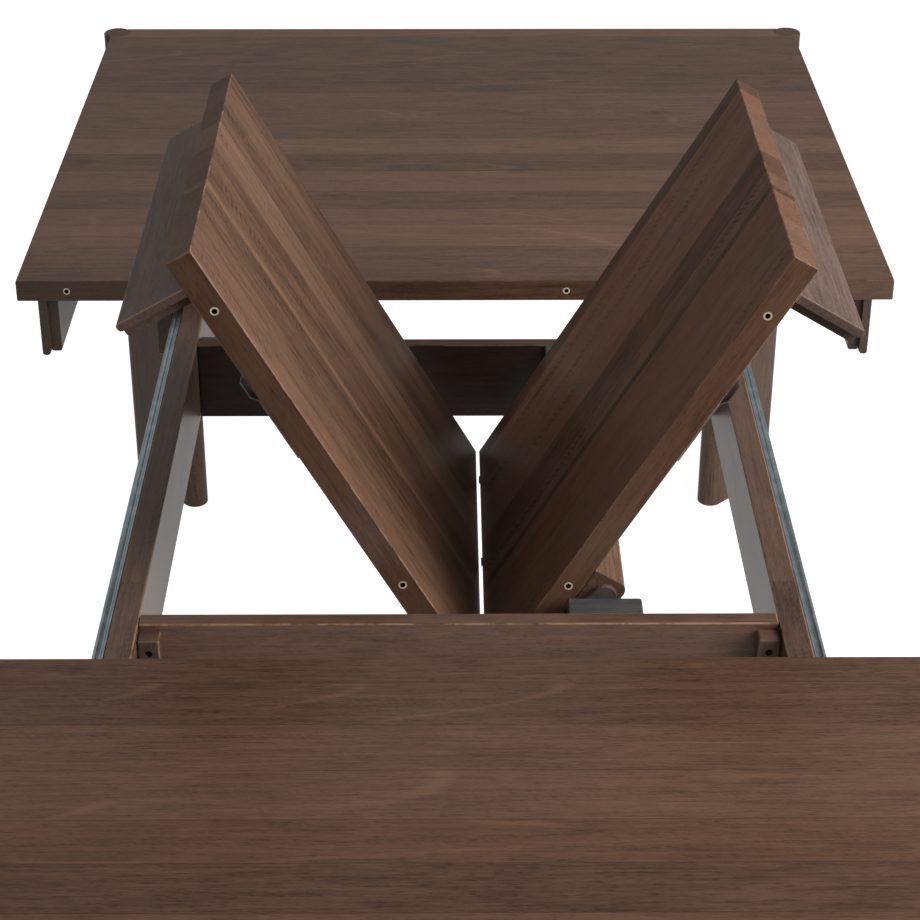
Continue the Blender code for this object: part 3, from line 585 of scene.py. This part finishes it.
for half in ("far", "near"):
    heading = math.pi / 4 if half == "far" else -math.pi / 4
    for side, sense in (("left", -1), ("right", 1)):
        paint_wood(f"{half}_{side}_leg", "leg", upright(sense * heading), 21 + sense,
                   polish=0.22, Ring_Share=0.16, Cover=0.34, Gloss=0.46, **ONE_PIECE)
        paint_wood(f"{half}_{side}_apron", "apron", ALONG_TABLE, 31 + sense,
                   Cover=0.40, Gloss=0.38, **ONE_PIECE)
        paint_wood(f"{half}_{side}_runner", "frame", ALONG_TABLE, 41 + sense,
                   Cover=0.30, **ONE_PIECE)
        paint_wood(f"{half}_{side}_corner_block", "frame", upright(0.0), 51 + sense,
                   Cover=0.55, Ring_Width=0.0030, Ring_Share=0.35, **ONE_PIECE)
    far = half == "far"
    # Painted shade: the faces of the far end apron and far cross rail towards the near end are darker, and the far
    # cross rail is darker all over. Painted light: the near cross rail's face towards the near end is lighter.
    paint_wood(f"{half}_end_apron", "apron", ACROSS_TABLE, 61, polish=0.12,
               near_face=0.40 if far else 1.0, Cover=0.40, Gloss=0.50, **ONE_PIECE)
    paint_wood(f"{half}_cross_rail", "frame", ACROSS_TABLE, 63,
               polish=0.12 if far else 0.34, shade=0.70 if far else 1.0,
               near_face=0.37 if far else 1.40, Cover=0.55, Gloss=0.46, Reach=0.0020,
               **ONE_PIECE)
    paint_wood(f"{half}_pivot_block", "grey", ACROSS_TABLE, 65, Cover=0.20, **ONE_PIECE)
print("far and near half finished")

# %% Finish the side rails and what hangs under the leaf
for side, seed in (("left", 71), ("right", 74)):
    paint_wood(f"{side}_side_rail", "frame", ALONG_TABLE, seed, polish=0.26, shade=0.92,
               Cover=0.60, Reach=0.0020, Length=SPLICE_LENGTH, Length_Start=SPLICE_START,
               **ONE_PIECE)
for side, undo, seed in (("right", UNDO_RIGHT, 81), ("left", UNDO_LEFT, 84)):
    paint_wood(f"{side}_leaf_skirt", "skirt", ALONG_TABLE @ undo, seed, Cover=0.60,
               Gloss=0.32, **ONE_PIECE)
paint_wood("leaf_bearer", "leaf", ALONG_TABLE @ UNDO_RIGHT, 87, Cover=0.50, **ONE_PIECE)
print("single boards finished")

# %% [markdown]
# ## Metal
#
# The slides are rolled from zinc-plated strip, blue-grey with a faint cloudy bloom and
# draw lines along their length, and the clips and most screws are plated too. The seam
# hinge, the pivot pins and the corner screws are blackened, and the sleeves in the board
# edges are turned brass. The round-ended plates on the bearer are brown nylon, which has
# the same faint clouds. One group makes the clouds and the draw lines, and each metal
# takes them in its own colour and strength.

# %% Metal group
def build_metal_group():
    tree, w, given, made = new_group(
        "metal surface",
        [("Vector", VECTOR, None), ("Base", COLOR, None), ("Bloom", COLOR, None),
         ("Cloud Scale", FLOAT, 60.0), ("Line Scale", FLOAT, 900.0),
         ("Gloss", FLOAT, 0.35)],
        [("Color", COLOR), ("Roughness", FLOAT), ("Height", FLOAT)],
    )
    cloud = w.noise(given["Vector"], scale=given["Cloud Scale"], detail=3.0)
    x, y, z = w.split(given["Vector"])
    fine = w.join(w.math("MULTIPLY", x, given["Line Scale"]), w.math("MULTIPLY", y, 6.0),
                  w.math("MULTIPLY", z, given["Line Scale"]))
    lines = w.noise(fine, detail=2.0)
    w.plug(made["Color"], w.mix(w.step(cloud, 0.38, 0.68), given["Base"], given["Bloom"]))
    rough = w.math("ADD", given["Gloss"], w.math(
        "MULTIPLY", w.math("SUBTRACT", lines, 0.5), 0.22))
    w.plug(made["Roughness"], w.math("ADD", rough, w.math(
        "MULTIPLY", w.math("SUBTRACT", cloud, 0.5), 0.12), clamp=True))
    w.plug(made["Height"], lines)
    return tree


METAL = build_metal_group()
print("metal group made with", len(METAL.nodes), "nodes")

# %% Metal material
METAL_BUMP_STRENGTH = 0.15
METAL_BUMP_DEPTH = 0.0002


def metal(name, base, bloom, gloss, metallic=1.0, cloud=60.0, lines=900.0):
    """A plated, blackened or turned metal. Nylon is the same with metallic at 0."""
    material = bpy.data.materials.new(name)
    material.use_nodes = True
    w = Wiring(material.node_tree)
    shader = material.node_tree.nodes["Principled BSDF"]
    where = w.node("ShaderNodeTexCoord").outputs["Object"]
    surface = w.node("ShaderNodeGroup", node_tree=METAL)
    plugs = {"Vector": where, "Base": (*base, 1.0), "Bloom": (*bloom, 1.0),
             "Cloud Scale": cloud, "Line Scale": lines, "Gloss": gloss}
    for label, value in plugs.items():
        w.plug(surface.inputs[label], value)
    bump = w.node("ShaderNodeBump", {
        "Height": surface.outputs["Height"], "Strength": METAL_BUMP_STRENGTH,
        "Distance": METAL_BUMP_DEPTH})
    w.plug(shader.inputs["Base Color"], surface.outputs["Color"])
    w.plug(shader.inputs["Roughness"], surface.outputs["Roughness"])
    w.plug(shader.inputs["Normal"], bump.outputs[0])
    shader.inputs["Metallic"].default_value = metallic
    return material


ZINC = metal("zinc", (0.39, 0.465, 0.51), (0.54, 0.615, 0.65), 0.34)
BLACKENED = metal("blackened_steel", (0.030, 0.028, 0.027), (0.060, 0.055, 0.050), 0.42)
BRASS = metal("turned_brass", (0.74, 0.60, 0.40), (0.86, 0.76, 0.58), 0.40, metallic=0.35,
              lines=1500.0)
NYLON = metal("brown_nylon", (0.060, 0.043, 0.036), (0.085, 0.064, 0.054), 0.46,
              metallic=0.0, cloud=140.0)
METAL_OF = {"seam_hinge": BLACKENED, "pivot_pin": BLACKENED, "sleeve": BRASS,
            "keeper": ZINC, "slide_": ZINC, "_pin": ZINC}
for node in NODES:
    made_of = [surface for word, surface in METAL_OF.items() if word in node]
    if made_of:
        paint(node, made_of[0])
print("metals made:", ZINC.name, BLACKENED.name, BRASS.name, NYLON.name)

# %% [markdown]
# ## Two parts with a second material
#
# A part of the solid model can carry two materials, and each face says by number which
# one it wears. The bearer ends in a nylon plate in front of each pivot block, and the
# bore of a brass sleeve wears the blackened metal, painted shade for the little light
# that gets in.

# %% Nylon plates and dark bores
PLATE_THICKNESS = 0.008
BORE_REACH = 0.0030
bearer = NODES["leaf_bearer"].data
bearer.materials.append(NYLON)
block_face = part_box("far_pivot_block")[0].y
for face in bearer.polygons:
    if abs(face.center.y) > block_face - PLATE_THICKNESS:
        face.material_index = 1
# Painted shade: the faces inside each bore take the blackened metal.
sleeves = [node for node in NODES if "sleeve" in node]
for node in sleeves:
    low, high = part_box(node)
    middle = (low + high) / 2
    sleeve = NODES[node].data
    sleeve.materials.append(BLACKENED)
    for face in sleeve.polygons:
        spoke = math.hypot(face.center.x - middle.x, face.center.z - middle.z)
        if spoke < BORE_REACH and abs(face.normal.y) < 0.5:
            face.material_index = 1
print("bores darkened:", len(sleeves))

# %% [markdown]
# ## Small fittings made in mesh code
#
# A screw head is a turned shape with a cross or a six-sided socket. It is quickest to
# start from a disc and let the operators do the rest: extrude gives the head its height,
# inset and another extrude sink the socket, and a bevel takes off the sharp rim. The
# head is built at the origin looking up, and a matrix carries it to its place.

# %% Helpers that place and join fittings
def finish_piece(name, bm, material, body):
    """Turns a bmesh into a piece that rides on a body."""
    bmesh.ops.recalc_face_normals(bm, faces=bm.faces)
    mesh = bpy.data.meshes.new(name)
    bm.to_mesh(mesh)
    bm.free()
    mesh.materials.append(material)
    mesh.shade_smooth()
    mesh.set_sharp_from_angle(angle=math.radians(35))
    piece = bpy.data.objects.new(name, mesh)
    bpy.context.scene.collection.objects.link(piece)
    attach(piece, body)
    return piece


def facing(point, outward):
    """Places something built at the origin, looking up, at a point looking outward."""
    turn = Vector(outward).to_track_quat("Z", "Y").to_matrix().to_4x4()
    return Matrix.Translation(point) @ turn


def merged(parts, name, material, body):
    """Joins several bmeshes into one piece."""
    whole = bmesh.new()
    for part in parts:
        mesh = bpy.data.meshes.new("part")
        part.to_mesh(mesh)
        part.free()
        whole.from_mesh(mesh)
        bpy.data.meshes.remove(mesh)
    return finish_piece(name, whole, material, body)


# %% Screw head
def highest_cap(bm, height):
    """The many-sided face that closes a head at its top."""
    return [face for face in bm.faces if len(face.verts) > 8
            and face.calc_center_median().z > height * 0.9][0]


def screw_head(radius, height, place, socket_sides=4):
    """A low domed screw head with a socket in it."""
    bm = bmesh.new()
    ring = bmesh.ops.create_circle(bm, segments=24, radius=radius, cap_ends=True)
    base = ring["verts"][0].link_faces[0]
    top = bmesh.ops.extrude_face_region(bm, geom=[base])["geom"]
    verts = [item for item in top if isinstance(item, bmesh.types.BMVert)]
    bmesh.ops.translate(bm, vec=(0.0, 0.0, height), verts=verts)
    cap = [item for item in top if isinstance(item, bmesh.types.BMFace)][0]
    bmesh.ops.bevel(bm, geom=cap.edges[:], offset=height * 0.7, segments=3, profile=0.5,
                    affect="EDGES", material=-1)
    bmesh.ops.inset_region(bm, faces=[highest_cap(bm, height)], thickness=radius * 0.42)
    cap = highest_cap(bm, height)
    sunk = bmesh.ops.extrude_face_region(bm, geom=[cap])["geom"]
    bmesh.ops.delete(bm, geom=[cap], context="FACES_ONLY")
    floor = [item for item in sunk if isinstance(item, bmesh.types.BMVert)]
    for vert in floor:
        angle = math.atan2(vert.co.y, vert.co.x)
        pinch = 0.55 + 0.35 * abs(math.cos(angle * socket_sides / 2))
        vert.co.x *= pinch
        vert.co.y *= pinch
        vert.co.z -= height * 0.6
    bmesh.ops.transform(bm, matrix=place, verts=bm.verts)
    return bm


# %% [markdown]
# ## Corner block screws
#
# Behind each cross rail a small glue block ties it to the side rail. Its screw sits at
# the bottom of a hole in the block's outer face, black and hard to see.

# %% Corner block screws
CORNER_SCREW_DEPTH = 0.0062
CORNER_SCREW_DROP = 0.0135
for half, end in (("near", -1), ("far", 1)):
    heads = []
    for side in ("left", "right"):
        low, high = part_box(f"{half}_{side}_corner_block")
        outer = low.y if end < 0 else high.y
        sunk = outer - end * CORNER_SCREW_DEPTH
        point = Vector(((low.x + high.x) / 2, sunk, high.z - CORNER_SCREW_DROP))
        heads.append(screw_head(0.0028, 0.0014, facing(point, (0, end, 0)), 6))
    merged(heads, f"{half}_corner_screws", BLACKENED, "frame")
print("corner screws made")

# %% [markdown]
# ## Slide screws
#
# A row of pan head screws holds each track to its side rail. They stand in the open
# channel, just proud of its back wall, and show from the side.

# %% Slide screws
SLIDE_SCREWS = 8
SLIDE_SCREW_INSET = 0.035
CHANNEL_WALL = 0.0018
for side, sense in (("left", -1), ("right", 1)):
    low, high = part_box(f"{side}_slide_track")
    middle = (low.z + high.z) / 2
    wall = low.x if sense > 0 else high.x
    screws = []
    run = high.y - low.y - 2 * SLIDE_SCREW_INSET
    for index in range(SLIDE_SCREWS):
        y = low.y + SLIDE_SCREW_INSET + index * run / (SLIDE_SCREWS - 1)
        point = Vector((wall + sense * CHANNEL_WALL, y, middle))
        screws.append(screw_head(0.0040, 0.0016, facing(point, (sense, 0, 0))))
    merged(screws, f"{side}_slide_screws", ZINC, "frame")
print("slide screws made")

# %% [markdown]
# ## Seam hinge links
#
# The panels are joined along their top edges by small links in the gap. The panels fold
# about the line where the two top faces meet. The bars lie a little below that line and
# ride on the right panel, clear of the hinge strip of the left one at every angle.

# %% Seam links
def bar(radius, length, centre, sides=16):
    """A round bar along the table."""
    bm = bmesh.new()
    bmesh.ops.create_cone(bm, cap_ends=True, segments=sides, radius1=radius,
                          radius2=radius, depth=length)
    rims = [edge for edge in bm.edges
            if abs(edge.verts[0].co.z - edge.verts[1].co.z) < radius * 0.01]
    bmesh.ops.bevel(bm, geom=rims, offset=radius * 0.25, segments=2, profile=0.5,
                    affect="EDGES", material=-1)
    bmesh.ops.transform(bm, matrix=facing(centre, (0, 1, 0)), verts=bm.verts)
    return bm


LINK_PLACES = (-0.193, -0.028, 0.137)
LINK_RADIUS = 0.0009
LINK_LENGTH = 0.014
LINK_DROP = 0.0016
links = []
for y in LINK_PLACES:
    under = flat_seam + Vector((0.0, y, -LINK_DROP))
    links.append(bar(LINK_RADIUS, LINK_LENGTH, under))
for link in links:
    bmesh.ops.transform(link, matrix=TO_RIGHT_LEAF, verts=link.verts)
merged(links, "seam_links", BLACKENED, "right_leaf")
print("seam links made:", len(LINK_PLACES))

# %% [markdown]
# ## Skirt hinges
#
# A skirt folds flat under its panel on two small butt hinges. Their leaves are let into
# the wood, so that only a hair's thickness stands proud, and the barrel lies in the
# corner. One leaf rides on the panel and the other on the skirt, so each side of the
# hinge is a piece of its own.

# %% Skirt hinges
HINGE_PLACES = (-0.1735, 0.1360)
HINGE_HALF_LENGTH = 0.016
HINGE_LEAF_WIDTH = 0.016
HINGE_PROUD = 0.00012
HINGE_BURIED = 0.0006
HINGE_BARREL = 0.0013
HINGE_SPACE = 0.0003
BARREL_CLEAR = 0.001


def let_in_plate(low, high):
    """A thin plate between two corners, its sides rounded where it shows."""
    bm = bmesh.new()
    low, high = Vector(low), Vector(high)
    scale = Matrix.Diagonal((*(high - low), 1.0))
    bmesh.ops.create_cube(bm, size=1.0, matrix=Matrix.Translation((low + high) / 2) @ scale)
    thin = min(high - low)
    short = [edge for edge in bm.edges if edge.calc_length() < thin * 1.01]
    bmesh.ops.bevel(bm, geom=short, offset=0.0025, segments=4, profile=0.5,
                    affect="EDGES", material=-1)
    return bm


LEAVES = (("right", 1, TO_RIGHT_LEAF), ("left", -1, TO_LEFT_LEAF))
for side, sense, place in LEAVES:
    fold = JOINTS[f"{side}_skirt_fold"]
    flat = place.inverted() @ Vector(fold["pos_m"])
    on_panel, on_skirt = [], []
    for y in HINGE_PLACES:
        near, far = y - HINGE_HALF_LENGTH, y + HINGE_HALF_LENGTH
        xs = sorted((flat.x - sense * HINGE_LEAF_WIDTH, flat.x - sense * BARREL_CLEAR))
        underside = flat.z + HINGE_SPACE
        on_panel.append(let_in_plate((xs[0], near, underside - HINGE_PROUD),
                                     (xs[1], far, underside + HINGE_BURIED)))
        on_panel.append(bar(HINGE_BARREL, 2 * HINGE_HALF_LENGTH, (flat.x, y, flat.z)))
        xs = sorted((flat.x - sense * HINGE_PROUD, flat.x + sense * HINGE_BURIED))
        on_skirt.append(let_in_plate(
            (xs[0], near, flat.z - HINGE_LEAF_WIDTH), (xs[1], far, flat.z - BARREL_CLEAR)))
    for part in on_panel + on_skirt:
        bmesh.ops.transform(part, matrix=place, verts=part.verts)
    merged(on_panel, f"{side}_panel_hinges", BLACKENED, f"{side}_leaf")
    merged(on_skirt, f"{side}_skirt_hinges", BLACKENED, f"{side}_skirt")
print("skirt hinges made:", 2 * len(HINGE_PLACES))

# %% [markdown]
# ## The screws under the leaf
#
# The clips and the bearer are held from below, and their screws are seen when the leaf is
# up. The two screws of a clip sit where it clears the side rail with the leaf laid flat.

# %% Clip screws
CLIP_SCREW_PLACES = (0.034, 0.056)


def flat_points(node, place):
    """The corners of a leaf part as it lies with the leaf flat and shut."""
    return [place.inverted() @ vert.co for vert in NODES[node].data.vertices]


for side, sense, place in LEAVES:
    clip = flat_points(f"{side}_leaf_keeper", place)
    inner = min(abs(point.x) for point in clip)
    under = min(point.z for point in clip if abs(point.x) < inner + 0.001)
    middle = sum(point.y for point in clip) / len(clip)
    screws = []
    for reach in CLIP_SCREW_PLACES:
        point = Vector((sense * (inner + reach), middle, under))
        screws.append(screw_head(0.0030, 0.0012, place @ facing(point, (0, 0, -1))))
    merged(screws, f"{side}_keeper_screws", ZINC, f"{side}_leaf")

print("clip screws made:", len(LEAVES) * len(CLIP_SCREW_PLACES))

# %% Bearer screws
BEARER_SCREW_PLACES = (-0.170, 0.0, 0.170)
BEARER_SCREW_SUNK = 0.0006
batten = flat_points("leaf_bearer", TO_RIGHT_LEAF)
under = min(point.z for point in batten)
lowest = [point.x for point in batten if point.z < under + 0.001]
middle = sum(lowest) / len(lowest)
screws = []
for y in BEARER_SCREW_PLACES:
    point = Vector((middle, y, under + BEARER_SCREW_SUNK))
    screws.append(screw_head(0.0042, 0.0014, TO_RIGHT_LEAF @ facing(point, (0, 0, -1))))
merged(screws, "bearer_screws", ZINC, "right_leaf")
print("bearer screws made:", len(BEARER_SCREW_PLACES))

# %% [markdown]
# ## Floor, light and camera
#
# The table stands on a plain pale floor that is lit up to white for the camera alone.
# Only the floor round the table glows in reflections, a painted reflection in the
# lacquer. A large soft lamp hangs to the right, so the panel that faces right is bright
# and the one that faces left is dull. Two lamps share its place, and one of them is kept
# out of the reflections, because a whole softbox would wash out the tops from behind. A
# weak fill behind on the left and a sky that is dim near the ground and overhead do the
# rest. The camera looks down along the table from its near end, through a long lens.

# %% Floor
FLOOR_HALF_SIZE = 9.0
FLOOR_GREY = (0.50, 0.50, 0.50, 1.0)
FLOOR_WHITE = 0.85
floor_mesh = bmesh.new()
bmesh.ops.create_grid(floor_mesh, x_segments=2, y_segments=2, size=FLOOR_HALF_SIZE)
floor_data = bpy.data.meshes.new("floor")
floor_mesh.to_mesh(floor_data)
floor_mesh.free()
floor = bpy.data.objects.new("floor", floor_data)
bpy.context.scene.collection.objects.link(floor)
pale = bpy.data.materials.new("pale_floor")
pale.use_nodes = True
pale_shader = pale.node_tree.nodes["Principled BSDF"]
pale_shader.inputs["Base Color"].default_value = FLOOR_GREY
pale_shader.inputs["Roughness"].default_value = 0.9
pale_shader.inputs["Emission Color"].default_value = (1.0, 1.0, 1.0, 1.0)
lit = Wiring(pale.node_tree)
path = lit.node("ShaderNodeLightPath").outputs
spot = lit.node("ShaderNodeTexCoord").outputs["Object"]
reach = lit.node("ShaderNodeVectorMath", {0: spot}, operation="LENGTH").outputs["Value"]
# Painted reflection: the floor glows for reflected rays alone, strongest near the table.
reflected_glow_near_table = lit.step(reach, 1.7, 2.3, 0.33, 0.02)
floor_white_and_painted_reflection = lit.math("ADD", lit.math("MULTIPLY", path["Is Camera Ray"], FLOOR_WHITE),
                lit.math("MULTIPLY", path["Is Glossy Ray"], reflected_glow_near_table))
lit.plug(pale_shader.inputs["Emission Strength"], floor_white_and_painted_reflection)
floor_data.materials.append(pale)

# %% Light
world = bpy.data.worlds.new("studio")
bpy.context.scene.world = world
world.use_nodes = True
sky = Wiring(world.node_tree)
background = world.node_tree.nodes["Background"]
background.inputs["Color"].default_value = (1.0, 1.0, 1.0, 1.0)
upward = sky.split(sky.node("ShaderNodeTexCoord").outputs["Generated"])[2]
dome = sky.math("MULTIPLY", sky.step(upward, 0.05, 0.50, 0.08, 0.42),
                sky.step(upward, 0.70, 0.98, 1.0, 0.30))
straight = sky.node("ShaderNodeLightPath").outputs["Is Camera Ray"]
sky.plug(background.inputs["Strength"], sky.math("MAXIMUM", dome, straight))


def soft_lamp(name, place, aim, width, height, power, reflected=True):
    """A rectangular lamp at a place, turned to its aim."""
    data = bpy.data.lights.new(name, "AREA")
    data.shape = "RECTANGLE"
    data.size = width
    data.size_y = height
    data.energy = power
    lamp = bpy.data.objects.new(name, data)
    bpy.context.scene.collection.objects.link(lamp)
    direction = Vector(aim) - Vector(place)
    lamp.rotation_euler = direction.to_track_quat("-Z", "Y").to_euler()
    lamp.location = place
    lamp.visible_glossy = reflected


SOFTBOX = ((2.0, -0.75, 1.95), (0.0, -0.1, 0.7), 2.1, 1.8)
soft_lamp("right_softbox", *SOFTBOX, 48)
soft_lamp("right_softbox_veil", *SOFTBOX, 74, reflected=False)
soft_lamp("left_back_fill", (-2.6, 2.4, 2.0), (0.0, 0.2, 0.8), 2.0, 1.5, 32,
          reflected=False)
bpy.context.scene.view_settings.view_transform = "Standard"
print("lamps set")

# %% Camera
CAMERA_PLACE = (-0.0119, -1.96125, 1.8414)
CAMERA_HEADING = math.radians(0.427)
CAMERA_DIP = math.radians(29.515)
CAMERA_ROLL = math.radians(0.093)
CAMERA_LENS = 88.53
CAMERA_SENSOR = 36.0
CAMERA_RANGE = 60.0
lens = bpy.data.cameras.new("camera")
lens.lens = CAMERA_LENS
lens.sensor_width = CAMERA_SENSOR
lens.clip_end = CAMERA_RANGE
camera = bpy.data.objects.new("camera", lens)
bpy.context.scene.collection.objects.link(camera)
camera.matrix_world = (
    Matrix.Translation(CAMERA_PLACE)
    @ Matrix.Rotation(-CAMERA_HEADING, 4, "Z")
    @ Matrix.Rotation(math.pi / 2 - CAMERA_DIP, 4, "X")
    @ Matrix.Rotation(CAMERA_ROLL, 4, "Z")
)
bpy.context.scene.camera = camera
print("camera dips", round(math.degrees(CAMERA_DIP), 1), "degrees")

# %% [markdown]
# ## Last update
#
# The scene is brought up to date at the end. The fittings may not make the table bigger.

# %% Finish
bpy.context.view_layer.update()
